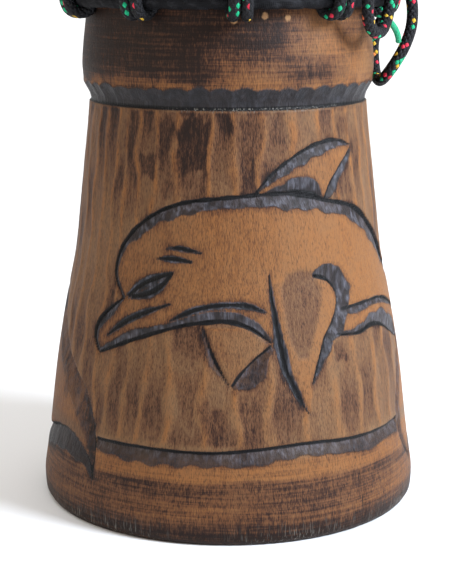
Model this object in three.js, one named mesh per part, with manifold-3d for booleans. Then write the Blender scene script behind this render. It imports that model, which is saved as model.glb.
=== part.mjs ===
// A goblet-shaped hand drum, carved from one log and laced with rope.
// Lengths are millimetres and angles are degrees. The drum stands on its foot at the origin with
// +Z up; angle 0 on its surface faces -Y and angles grow towards +X.
import * as THREE from "three";
import { mergeVertices } from "three/addons/utils/BufferGeometryUtils.js";
import Module from "manifold-3d";

const wasm = await Module();
wasm.setup();

// Driving dimensions
const HEIGHT = 500;
const BASE_RADIUS = 90;
const COLLAR_RADIUS = 67.8;
const NECK_RADIUS = 63.8;
const BOWL_RADIUS = 127;
const THROAT_RADIUS = 36;
const BOWL_WALL = 14;
const FOOT_WALL = 16;
const SKIN = 1.3;
const ROPE = 5;
const CLEARANCE = 0.3;

// Counts that repeat round the axis
const AROUND = 40;
const AROUND_HOLLOW = 24;
const RING_SIDES = 6;
const LACING_SIDES = 5;
const SPARE_SIDES = 8;
const SPARE_STEPS = 26;
const LOOPS = 10;
const LOOP_PITCH = 360 / LOOPS;
const FIRST_NECK_LOOP = 4;
const FIRST_CROWN_LOOP = FIRST_NECK_LOOP + LOOP_PITCH / 2;
const FIGURES = 2;
const FIGURE_PITCH = 360 / FIGURES;

// Heights of the bands of the foot
const BASE_BAND_TOP = 34;
const NOTCH = 189;
const COLLAR_FOOT = 199;
const COLLAR_TOP = 236;

// Rings that the rope is hitched to
const RING_TUBE = 3.6;
const ROPE_PRESSED = 2;
const NECK_RING_HEIGHT = 235;
const NECK_RING_RADIUS = 71.5;
const CROWN_RING_HEIGHT = 463;
const CROWN_RING_RADIUS = BOWL_RADIUS + SKIN + ROPE_PRESSED + RING_TUBE + 4 * CLEARANCE;
const SKIN_ROLL_HEIGHT = 452;

// Slings: how far the bight leans off the drum, and how far its tip stands from its ring
const NECK_LEAN = 3;
const CROWN_LEAN = 2.4;
const SLING_TIP = RING_TUBE + 2 * CLEARANCE + 2.5 * ROPE;

// How chisel cuts are made
const CUT_STEP = 13;
const CUT_LIFT = 1.6;
const CUT_DEPTH_PER_ROOT_WIDTH = 0.85;

// The shell's outside, from the bottom edge to the bearing edge, as [radius, height]
const OUTSIDE = [
  [BASE_RADIUS - 1.5, 0],
  [BASE_RADIUS, 3],
  [BASE_RADIUS + 0.2, 8],
  [BASE_RADIUS - 3, BASE_BAND_TOP],
  [82.9, 64],
  [78, 92],
  [71.8, 124],
  [68.4, 158],
  [65.1, NOTCH - 0.8],
  [64, NOTCH],
  [COLLAR_RADIUS - 0.2, COLLAR_FOOT],
  [COLLAR_RADIUS, 206],
  [65.2, COLLAR_TOP],
  [NECK_RADIUS, 246],
  [68, 259],
  [79, 275],
  [96, 299],
  [112, 335],
  [123, 380],
  [BOWL_RADIUS, 430],
  [BOWL_RADIUS - 1.8, HEIGHT - 12],
  [BOWL_RADIUS - 4.5, HEIGHT - 4],
  [BOWL_RADIUS - 9, HEIGHT - SKIN - CLEARANCE],
];

// The hollow, from under the foot to above the bearing edge, as [radius, height]
const HOLLOW = [
  [0, -5],
  [BASE_RADIUS - FOOT_WALL, -5],
  [BASE_RADIUS - FOOT_WALL - 2, 12],
  [58, 120],
  [43, 215],
  [THROAT_RADIUS, 246],
  [50, 268],
  [80, 302],
  [102, 352],
  [BOWL_RADIUS - BOWL_WALL - 1, 410],
  [BOWL_RADIUS - BOWL_WALL, HEIGHT - 8],
  [BOWL_RADIUS - BOWL_WALL + 3, HEIGHT + 5],
  [0, HEIGHT + 5],
];

// Chisel cuts of one leaping dolphin. Each line runs through [angle, height, width of the cut].
// "left" and "right" say on which side of the line, followed from its start, the slope rises
// from the upright wall that stands on the line; "both" is a plain V groove.
const FIGURE_CUTS = [
  // Back, from the beak over the forehead and the tail stock to the tip of the far fluke
  {
    slope: "right",
    line: [
      [-38, 105, 1.5], [-43.5, 115, 2], [-42, 126, 3], [-33, 139, 5], [-19, 148, 5],
      [0, 151.5, 4.5], [22, 152.5, 6], [38, 148.5, 5.5], [55, 143, 6.5], [70, 130, 7],
      [84, 114, 7], [97, 99, 8], [107, 84, 10], [117, 72, 12], [127, 62, 12],
      [133, 51, 9], [135.5, 38, 5], [136, 23, 0.5],
    ],
  },
  // Dorsal fin: its leading edge, the hollow behind it and the sunk triangle at its root
  {
    slope: "right",
    line: [[9, 152, 0.6], [15, 160, 3], [22, 166, 4.5], [29, 170.5, 5], [38, 173.7, 4.5],
      [47, 174, 3], [55, 171, 0.5]],
  },
  {
    slope: "left",
    line: [[55, 170, 1], [50, 165, 7], [45, 160, 11], [41, 155, 10], [38, 149.5, 5]],
  },
  {
    slope: "left",
    line: [[12, 152.6, 0.5], [20, 153.2, 3], [27, 152.8, 4], [36, 149.6, 0.8]],
  },
  // Brow strokes
  { slope: "both", line: [[-22.5, 128.8, 0.4], [-17, 129.3, 2.6], [-9.3, 127.6, 0.8]] },
  { slope: "both", line: [[-26, 124, 0.4], [-20, 124.6, 3.2], [-12.5, 123.6, 0.8]] },
  // Eye lids, with the almond of the eye left standing between them
  {
    slope: "both",
    line: [[-36, 106.8, 1], [-31.5, 112, 3], [-26.5, 115.6, 3.4], [-19, 118.6, 0.5]],
  },
  {
    slope: "both",
    line: [[-35, 106.6, 1], [-29.5, 108.6, 3], [-24.5, 111.6, 3.2], [-19.5, 118, 0.5]],
  },
  // Beak: its upper edge and the line of the mouth
  {
    slope: "left",
    line: [[-38.5, 105, 1], [-44, 99.5, 4], [-48, 94.5, 4.5], [-49.8, 89, 3], [-49, 84, 2.5],
      [-46.3, 79.6, 1]],
  },
  {
    slope: "both",
    line: [[-43.5, 87.6, 0.5], [-38, 93.5, 3], [-33, 97.8, 3.4], [-27, 101.3, 3], [-19.3, 105.3, 0.5]],
  },
  // Chin and belly, and the crease of the throat
  {
    slope: "left",
    line: [[-46.3, 79.6, 1], [-34, 87, 4], [-23, 92.7, 3], [-15, 96.2, 3], [-7, 98, 4.5],
      [0, 98.4, 4.5], [7, 95.6, 4], [13.8, 89, 1]],
  },
  {
    slope: "both",
    line: [[-19.5, 97.6, 0.4], [-14, 101.6, 2.8], [-7.5, 104.4, 3], [0, 105.6, 3], [7, 104.8, 3],
      [12.6, 102, 1]],
  },
  // Small far fin: its thin front edge and its rough rear edge
  { slope: "right", line: [[-8, 95.6, 1], [-4.5, 83, 2.6], [0.4, 70.8, 0.5]] },
  { slope: "left", line: [[13.6, 86.5, 1], [8, 81.5, 6], [4, 76, 6], [1, 70.5, 1]] },
  // Large near fin: its front edge, and its rear edge with the hook at the shoulder
  {
    slope: "both",
    line: [[14.2, 118, 0.4], [14.8, 107, 2], [16, 95, 4.2], [17, 87, 5.2], [18.2, 78, 4.6],
      [20.6, 69, 3.6], [23, 62, 1.8], [25.6, 56, 0.4]],
  },
  {
    slope: "left",
    line: [[31.2, 115, 0.8], [36.2, 110.4, 5], [38.6, 106.6, 6], [37.6, 101, 5.4], [35, 94, 5.6],
      [33, 90, 5], [30, 80, 2.6], [27, 69, 0.5]],
  },
  // Tail stock: the crease along it and its lower edge
  {
    slope: "right",
    line: [[41.5, 99.7, 1.5], [48, 100, 3.6], [56, 100.3, 3.2], [65, 99.8, 2.6], [74, 96.6, 2.2],
      [85, 90, 1.6], [93, 82, 0.4]],
  },
  {
    slope: "left",
    line: [[38, 89.3, 0.8], [44, 88, 2], [50, 87.6, 3.4], [57, 89.4, 6], [65, 87, 7],
      [74, 81, 7], [84, 74.5, 2]],
  },
  // Near fluke, and the trailing edges of both flukes over the base band
  {
    slope: "left",
    line: [[84, 77, 0.8], [76.5, 68, 4.5], [70.8, 56, 5.5], [67.8, 44, 5], [68.6, 34, 4],
      [72.5, 26, 3], [78, 19, 0.5]],
  },
  {
    slope: "right",
    line: [[77.4, 18.2, 0.5], [83, 27, 4.5], [91, 32, 6.5], [99, 33, 8], [110, 37.5, 10],
      [121, 39, 10], [129, 35, 8], [134, 28.5, 4], [136.3, 21.6, 0.5]],
  },
  // Ground line between the flukes, which cuts the panel off from the base band
  {
    slope: "right",
    line: [[-43.6, 41, 5], [-26, 41.6, 6.6], [-6, 41.4, 6.4], [13, 43, 6], [24, 43.6, 6],
      [41, 42, 6], [54, 41.6, 6.6], [66.5, 42, 6]],
  },
];

const COLOURS = {
  wood: { color: 0x7d4a24, roughness: 0.55, metalness: 0 },
  skin: { color: 0xd8c39a, roughness: 0.6, metalness: 0 },
  cloth: { color: 0x17171a, roughness: 0.85, metalness: 0 },
  rope: { color: 0x101012, roughness: 0.75, metalness: 0 },
};

function radians(degrees) {
  return (degrees * Math.PI) / 180;
}

function onCircle(radius, angle, height) {
  const a = radians(angle);
  return new THREE.Vector3(radius * Math.sin(a), -radius * Math.cos(a), height);
}

// The outside's radius at a height, along its straight facets
function outsideRadius(height) {
  const above = OUTSIDE.findIndex(([, h]) => h >= height);
  const upper = OUTSIDE[Math.max(above, 1)];
  const lower = OUTSIDE[Math.max(above, 1) - 1];
  return THREE.MathUtils.mapLinear(height, lower[1], upper[1], lower[0], upper[0]);
}

function polygon(sides, radius) {
  return Array.from({ length: sides }, (_, i) => {
    const a = (i * 2 * Math.PI) / sides;
    return new THREE.Vector2(radius * Math.cos(a), radius * Math.sin(a));
  });
}

function meshOf(name, geometry, colour) {
  const mesh = new THREE.Mesh(geometry, new THREE.MeshStandardMaterial(colour));
  mesh.name = name;
  return mesh;
}

// A solid of revolution about the Z axis, from [radius, height] points listed upwards
function turned(profile, segments) {
  const points = profile.map(([r, h]) => new THREE.Vector2(r, h));
  return new THREE.LatheGeometry(points, segments).rotateX(Math.PI / 2);
}

// A closed skin over a row of rings, each a list of as many points, seen anticlockwise from ahead.
// The row ends in two flat faces, or joins up with its own start where it is endless.
function lofted(rings, endless = false) {
  const sides = rings[0].length;
  const corners = rings.flat().flatMap((p) => [p.x, p.y, p.z]);
  const faces = [];
  const last = rings.length - 1;
  for (let i = 0; i < rings.length - (endless ? 0 : 1); i += 1) {
    const ahead = (i + 1) % rings.length;
    for (let j = 0; j < sides; j += 1) {
      const next = (j + 1) % sides;
      const [a, b] = [i * sides + j, i * sides + next];
      const [c, d] = [ahead * sides + next, ahead * sides + j];
      faces.push(a, b, c, a, c, d);
    }
  }
  for (let j = 1; j < sides - 1 && !endless; j += 1) {
    faces.push(0, j + 1, j, last * sides, last * sides + j, last * sides + j + 1);
  }
  const geometry = new THREE.BufferGeometry();
  geometry.setAttribute("position", new THREE.Float32BufferAttribute(corners, 3));
  geometry.setIndex(faces);
  return geometry;
}

function solidOf(geometry) {
  const bare = geometry.clone().deleteAttribute("normal").deleteAttribute("uv");
  const merged = mergeVertices(bare, 1e-4);
  return new wasm.Manifold(
    new wasm.Mesh({
      numProp: 3,
      vertProperties: new Float32Array(merged.attributes.position.array),
      triVerts: new Uint32Array(merged.index.array),
    }),
  );
}

function geometryOf(solid) {
  const { vertProperties, triVerts } = solid.getMesh();
  const geometry = new THREE.BufferGeometry();
  geometry.setAttribute("position", new THREE.BufferAttribute(vertProperties, 3));
  geometry.setIndex(new THREE.BufferAttribute(triVerts, 1));
  return geometry;
}

// One chisel cut: a three-sided cutter that follows the drum's surface along the line
function cutter({ slope, line }, turn) {
  const spread = line.map(([angle, height, width]) => new THREE.Vector3(angle, height, width));
  const curve = new THREE.CatmullRomCurve3(spread, false, "centripetal");
  const millimetres = (p) => new THREE.Vector2(radians(p.x) * outsideRadius(p.y), p.y);
  const long = line.slice(1).reduce((sum, [angle, height], i) => {
    const [a, h] = line[i];
    const arc = radians(angle - a) * outsideRadius((height + h) / 2);
    return sum + Math.hypot(arc, height - h);
  }, 0);
  const steps = Math.max(Math.round(long / CUT_STEP), 3);
  const stations = curve.getSpacedPoints(steps);
  const rings = stations.map((p, i) => {
    const before = millimetres(stations[Math.max(i - 1, 0)]);
    const after = millimetres(stations[Math.min(i + 1, steps)]);
    const along = after.sub(before).normalize();
    const width = Math.max(p.z, 0.4);
    const depth = CUT_DEPTH_PER_ROOT_WIDTH * Math.sqrt(width);
    const reach = width * (1 + CUT_LIFT / depth);
    const sections = {
      left: [[0, CUT_LIFT], [0, -depth], [reach, CUT_LIFT]],
      right: [[-reach, CUT_LIFT], [0, -depth], [0, CUT_LIFT]],
      both: [[-reach / 2, CUT_LIFT], [0, -depth], [reach / 2, CUT_LIFT]],
    };
    return sections[slope].map(([across, out]) => {
      const height = p.y + along.x * across;
      const angle = p.x - THREE.MathUtils.radToDeg((along.y * across) / outsideRadius(p.y));
      return onCircle(outsideRadius(height) + out, angle + turn, height);
    });
  });
  return solidOf(lofted(rings));
}

function shell() {
  const profile = [[0, 0], ...OUTSIDE, [0, OUTSIDE.at(-1)[1]]];
  let solid = solidOf(turned(profile, AROUND));
  for (let figure = 0; figure < FIGURES; figure += 1) {
    for (const cut of FIGURE_CUTS) {
      solid = solid.subtract(cutter(cut, figure * FIGURE_PITCH));
    }
  }
  return geometryOf(solid.subtract(solidOf(turned(HOLLOW, AROUND_HOLLOW))));
}

// Goatskin: drawn over the bearing edge, down the bowl and round the hoop in its rolled edge
function drumhead() {
  const close = CLEARANCE + 0.1;
  const roll = BOWL_RADIUS + 7.5;
  const foot = SKIN_ROLL_HEIGHT - 5.5;
  const top = HEIGHT - SKIN;
  return turned(
    [
      [0, top],
      [BOWL_RADIUS - 8.6, top],
      [BOWL_RADIUS - 4, HEIGHT - 3.7],
      [BOWL_RADIUS - 1.8 + close, HEIGHT - 12],
      [BOWL_RADIUS + close, SKIN_ROLL_HEIGHT + 6],
      [BOWL_RADIUS + close, foot],
      [roll - 2, foot],
      [roll, SKIN_ROLL_HEIGHT],
      [roll - 2, SKIN_ROLL_HEIGHT + 4.5],
      [BOWL_RADIUS + close + SKIN, SKIN_ROLL_HEIGHT + 6],
      [BOWL_RADIUS - 1.8 + close + SKIN, HEIGHT - 12],
      [BOWL_RADIUS - 3, HEIGHT - 2.6],
      [BOWL_RADIUS - 8, HEIGHT],
      [0, HEIGHT],
    ],
    AROUND,
  );
}

// A ring that has a corner of its outline under the middle of every sling
function ring(radius, height, angle) {
  return new THREE.TorusGeometry(radius, RING_TUBE, RING_SIDES, 4 * LOOPS)
    .rotateZ(radians(angle - 90))
    .translate(0, 0, height);
}

// A sling hitched round a ring, with its bight standing away from it along the drum.
// "rise" is +1 for a bight that stands up and -1 for one that hangs down.
function sling(radius, height, angle, rise, lean) {
  const hole = RING_TUBE + 2 * CLEARANCE;
  const pressed = hole + ROPE_PRESSED;
  const outer = hole + ROPE - 1.2;
  const outline = [
    [-pressed + 0.6, -2], [-3, -pressed], [4, -pressed], [outer, -2], [outer, 3],
    [lean + ROPE, SLING_TIP], [lean, SLING_TIP], [lean, pressed], [-pressed + 0.6, 3],
  ];
  const shape = new THREE.Shape(outline.map(([r, h]) => new THREE.Vector2(r, h * rise)));
  const eye = polygon(RING_SIDES, hole);
  shape.holes.push(new THREE.Path(eye));
  const wide = 2 * ROPE;
  return new THREE.ExtrudeGeometry(shape, { depth: wide, bevelEnabled: false, steps: 1 })
    .translate(radius, 0, -wide / 2)
    .rotateX(Math.PI / 2)
    .rotateZ(radians(angle - 90))
    .translate(0, 0, height);
}

// The heights and radii that a tight rope touches between the two rows of slings
function tautLine() {
  const off = ROPE / 2 + 6 * CLEARANCE;
  const low = NECK_RING_HEIGHT + SLING_TIP + CLEARANCE + 1.5 * ROPE;
  const high = CROWN_RING_HEIGHT - SLING_TIP - CLEARANCE - 1.5 * ROPE;
  const start = new THREE.Vector2(NECK_RING_RADIUS + NECK_LEAN + ROPE / 2, low);
  const end = new THREE.Vector2(CROWN_RING_RADIUS + CROWN_LEAN + ROPE / 2, high);
  const between = OUTSIDE.filter(([, h]) => h > low + ROPE && h < high - ROPE);
  const touched = [];
  for (const p of [start, ...between.map(([r, h]) => new THREE.Vector2(r + off, h)), end]) {
    while (touched.length > 1) {
      const last = touched.at(-1).clone().sub(touched.at(-2));
      if (last.cross(p.clone().sub(touched.at(-2))) < 0) {
        touched.pop();
      } else {
        break;
      }
    }
    touched.push(p);
  }
  return touched;
}

// Rope laced up and down between the slings without an end: it turns round in every sling
function lacing() {
  const touched = tautLine();
  const [low, high] = [touched[0].y, touched.at(-1).y];
  const path = [];
  for (let i = 0; i < LOOPS; i += 1) {
    const foot = FIRST_NECK_LOOP + i * LOOP_PITCH;
    const head = foot + LOOP_PITCH / 2;
    const leg = (p, from, to) => {
      const share = (p.y - low) / (high - low);
      const apart = THREE.MathUtils.radToDeg(ROPE / p.x) * Math.sign(to - from);
      const angle = THREE.MathUtils.lerp(from + apart, to - apart, share);
      return onCircle(p.x, angle, p.y);
    };
    path.push(onCircle(touched[0].x, foot, low - ROPE));
    path.push(...touched.map((p) => leg(p, foot, head)));
    path.push(onCircle(touched.at(-1).x, head, high + ROPE));
    path.push(...touched.map((p) => leg(p, foot + LOOP_PITCH, head)).reverse());
  }
  const rings = path.map((p, i) => {
    const before = path.at(i - 1);
    const after = path[(i + 1) % path.length];
    const along = after.clone().sub(before).normalize();
    const out = new THREE.Vector3(p.x, p.y, 0).normalize();
    const across = out.clone().cross(along).normalize();
    out.crossVectors(along, across);
    return polygon(LACING_SIDES, ROPE / 2).map((corner) =>
      p.clone().addScaledVector(across, corner.x).addScaledVector(out, corner.y),
    );
  });
  return lofted(rings, true);
}

// The rope's spare end: it drops over the neck ring, rises behind a sling, hangs down the side of
// the collar in a second bight, and is tucked away behind the same sling.
const SPARE_ROUTE = [
  [54.4, -62, 255],
  [57.6, -60.2, 248.6],
  [59.6, -57.2, 241],
  [60, -54.2, 233.5],
  [60.7, -50.8, 226.6],
  [63.5, -45.4, 221.4],
  [67.4, -38.6, 221],
  [70.4, -33.2, 226],
  [71.9, -31.6, 233.5],
  [72.7, -31.4, 241],
  [72.1, -30.4, 247.6],
  [70.1, -26.8, 252.8],
  [68.4, -20.8, 255.2],
  [68.6, -14, 255.4],
  [71.1, -7.8, 254.4],
  [75.4, -3.2, 251.4],
  [80, -1.2, 246],
  [83.6, -1.8, 238.6],
  [85.2, -3.8, 231],
  [84.8, -5.6, 222],
  [82, -6.8, 213.4],
  [78.2, -7.2, 206.4],
  [74.6, -5.4, 200.6],
  [72.2, -0.4, 197],
  [71.1, 6, 196.6],
  [70.2, 11.8, 199.8],
  [69.6, 15.2, 206.4],
  [69.6, 16.2, 213.6],
  [71.2, 16, 220.6],
  [75.2, 15.4, 227],
  [78.2, 14, 234.5],
  [79, 11.4, 241.6],
  [77, 6.6, 246.6],
  [73.4, 1.2, 248.4],
  [70, -5, 247.6],
  [68.4, -11, 246.4],
];

function spareRope() {
  const section = new THREE.Shape(polygon(SPARE_SIDES, ROPE / 2));
  const points = SPARE_ROUTE.map((p) => new THREE.Vector3(...p));
  const extrudePath = new THREE.CatmullRomCurve3(points, false, "centripetal");
  return new THREE.ExtrudeGeometry(section, { steps: SPARE_STEPS, extrudePath, bevelEnabled: false });
}

const drum = new THREE.Group();
drum.add(
  meshOf("shell", shell(), COLOURS.wood),
  meshOf("drumhead_skin", drumhead(), COLOURS.skin),
  meshOf("crown_ring", ring(CROWN_RING_RADIUS, CROWN_RING_HEIGHT, FIRST_CROWN_LOOP), COLOURS.cloth),
  meshOf("neck_ring", ring(NECK_RING_RADIUS, NECK_RING_HEIGHT, FIRST_NECK_LOOP), COLOURS.cloth),
  meshOf("lacing", lacing(), COLOURS.rope),
  meshOf("spare_rope", spareRope(), COLOURS.rope),
);
for (let i = 0; i < LOOPS; i += 1) {
  const number = String(i + 1).padStart(2, "0");
  const low = FIRST_NECK_LOOP + i * LOOP_PITCH;
  const high = FIRST_CROWN_LOOP + i * LOOP_PITCH;
  drum.add(
    meshOf(
      `neck_sling_${number}`,
      sling(NECK_RING_RADIUS, NECK_RING_HEIGHT, low, 1, NECK_LEAN),
      COLOURS.rope,
    ),
    meshOf(
      `crown_sling_${number}`,
      sling(CROWN_RING_RADIUS, CROWN_RING_HEIGHT, high, -1, CROWN_LEAN),
      COLOURS.rope,
    ),
  );
}

export default drum;
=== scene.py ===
"""A goblet hand drum: a carved and scorched wooden shell, a goatskin head and rope lacing.

Lengths in the tables are millimetres and angles are degrees, as a carver would mark them out.
Angle 0 on the drum faces -Y and angles grow towards +X.
"""

import math

import bpy
import numpy as np
from bpy.props import FloatProperty, FloatVectorProperty, IntProperty, PointerProperty
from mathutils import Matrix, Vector


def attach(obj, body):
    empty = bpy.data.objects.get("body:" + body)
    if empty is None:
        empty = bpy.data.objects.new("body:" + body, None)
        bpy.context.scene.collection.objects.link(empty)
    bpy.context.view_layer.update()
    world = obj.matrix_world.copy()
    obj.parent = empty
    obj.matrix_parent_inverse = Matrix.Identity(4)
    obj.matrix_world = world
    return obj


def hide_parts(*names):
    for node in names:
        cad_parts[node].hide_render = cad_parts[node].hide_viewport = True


bl_info = {
    "name": "Goblet Hand Drum",
    "version": (1, 0, 0),
    "blender": (4, 5, 0),
    "location": "3D View > Sidebar > Drum",
    "description": "Builds a carved goblet hand drum with its head, rings and rope lacing",
    "category": "Object",
}

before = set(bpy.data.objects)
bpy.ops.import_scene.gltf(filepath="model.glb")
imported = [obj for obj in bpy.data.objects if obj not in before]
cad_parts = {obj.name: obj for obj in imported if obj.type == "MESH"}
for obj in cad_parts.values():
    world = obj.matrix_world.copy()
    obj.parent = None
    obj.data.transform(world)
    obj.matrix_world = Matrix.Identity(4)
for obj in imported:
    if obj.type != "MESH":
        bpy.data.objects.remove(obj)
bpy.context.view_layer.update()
MM = 0.001

# The shell's outside, from the bottom edge to the bearing edge, as (height, radius)
FOOT_PROFILE = [
    (0.0, 88.2), (1.2, 89.6), (4, 90.1), (9, 90.3), (20, 88.9), (32, 87.1), (40, 86.1),
    (60, 83.6), (80, 80.4), (100, 76.6), (120, 72.6), (140, 70.3), (160, 68.1), (175, 66.4),
    (190, 65.0),
]
COLLAR_PROFILE = [(186, 67.4), (199, 67.6), (205, 68.0), (215, 67.3), (225, 66.1), (236, 65.0)]
BOWL_PROFILE = [
    (236, 65.0), (246, 63.9), (252, 64.9), (259, 68), (275, 79), (299, 96), (335, 112),
    (380, 123), (430, 127), (460, 126.6), (488, 125.2), (494, 123.6), (497.4, 120.4), (498.3, 117.6),
]
HOLLOW_PROFILE = [
    (498.3, 116.8), (494.5, 113.8), (490, 113), (410, 112), (352, 102), (302, 80), (268, 50),
    (246, 36), (215, 43), (120, 58), (60, 65.8), (12, 72), (1.5, 73.3), (0.0, 74.6),
]

# Heights and radii of the carved panel, of the notch over it and of the collar
PANEL_FOOT, PANEL_TOP = 42.0, 188.8
NOTCH, CHAMFER_TOP = 189.2, 196.6
NOTCH_RADIUS = 64.0
COLLAR_TOP = 236.0
FOOT_LEAST_RADIUS = 62

# The chamfer over the notch: how its edge grows with its slant, and how black it is burnt
CHAMFER_SLANT = 1.4
CHAMFER_BURN = 0.97

# The hollow brushed into the near fin, the crack in the foot and where the pale spots lie
FIN_HOLLOW_DEPTH = 0.35
CRACK_WIDTH, CRACK_TOP, CRACK_DEPTH = 0.7, 37, 0.3
SPOTS_RADIUS = 66

# Heights at which a finish starts and at which it is full
BASE_BAND = (40, 36)
COLLAR = (188.6, 189.4)
ORANGE_STRIP = (203.5, 197)
LOW_STRIP = (26.5, 29.5)

# A mark's distance, in millimetres, where its line or slope is far away
FAR_OFF = 3.0

# The two figures, half a turn apart, with the middle of the first one's angles
FIGURES = 2
FIGURE_PITCH = 180.0
FIGURE_MIDDLE = 43

# The rings and what is hitched round them: a ring's radius and height, the tube of cloth and
# the lean of the slings away from the ring
LOOPS = 10
LOOP_PITCH = 360 / LOOPS
FIRST_NECK_LOOP = 4.0
FIRST_CROWN_LOOP = FIRST_NECK_LOOP + LOOP_PITCH / 2
NECK_RING = (71.5, 235.0)
CROWN_RING = (135.1, 463.0)
RING_TUBE = 3.5
ROPE_RADIUS = 2.6
NECK_LEAN = 3.0
CROWN_LEAN = 2.4

# Rows of points up the shell's outside, and the number of points round each row of the foot
FOOT_ROWS = [
    (np.linspace(0.4, 15, 9), 260), (np.linspace(16.5, 39.5, 18), 360),
    (np.linspace(40.4, 188.2, 152), 420), ([188.7, 189.2, 189.8, 190.6, 191.6], 420),
    (np.arange(192.5, 200.5, 0.62), 420), (np.linspace(201.5, COLLAR_TOP, 18), 230),
]
BOWL_ROWS = np.concatenate([
    np.linspace(238.5, 302, 26), np.linspace(307, 488, 34), [491, 493.5, 495.5, 497, 498, 498.3]])
BOWL_COLUMNS = 130
HOLLOW_ROWS, HOLLOW_COLUMNS = 48, 80

# Colours that no setting changes
CHAR_SHEEN = (0.125, 0.125, 0.15)
CUT_BLACK = (0.003, 0.003, 0.0035)
# Pale grey of the foot's scuffs and of the painted highlight on the notch's edge
SCUFF_AND_HIGHLIGHT_GREY = (0.16, 0.15, 0.13)
PALE_WOOD = (0.4, 0.22, 0.1)
WORN_BLACK = (0.022, 0.022, 0.025)
DARK_HAIR = (0.12, 0.07, 0.04)
LOOSE_YARN = (0.01, 0.3, 0.14)
FLOOR_WHITE = (0.9, 0.9, 0.9)

# The picture's height, the focal length and the centre's shift in pixels, and the film in mm
FRAME_HEIGHT = 584
FOCAL_LENGTH = 1479
CENTRE_SHIFT = -2
FILM = 36

# The stage in metres: the lights, what they aim at and half the floor's side. The white room
# is brightest at the horizon and fades up to the rise that is given here.
KEY_PLACE, KEY_SIZE = (1.05, -0.55, 0.8), 0.55
FILL_PLACE, FILL_SIZE = (-0.9, -0.5, 0.45), 0.8
BACKDROP_PLACE, BACKDROP_SIZE = (0, 8.0, 2.4), (8.0, 14.0)
OVERHEAD_SPREAD = math.radians(70)
AIM_HEIGHT = 0.13
FLOOR_SPAN = 30.0
HORIZON_RISE = 0.14

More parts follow.
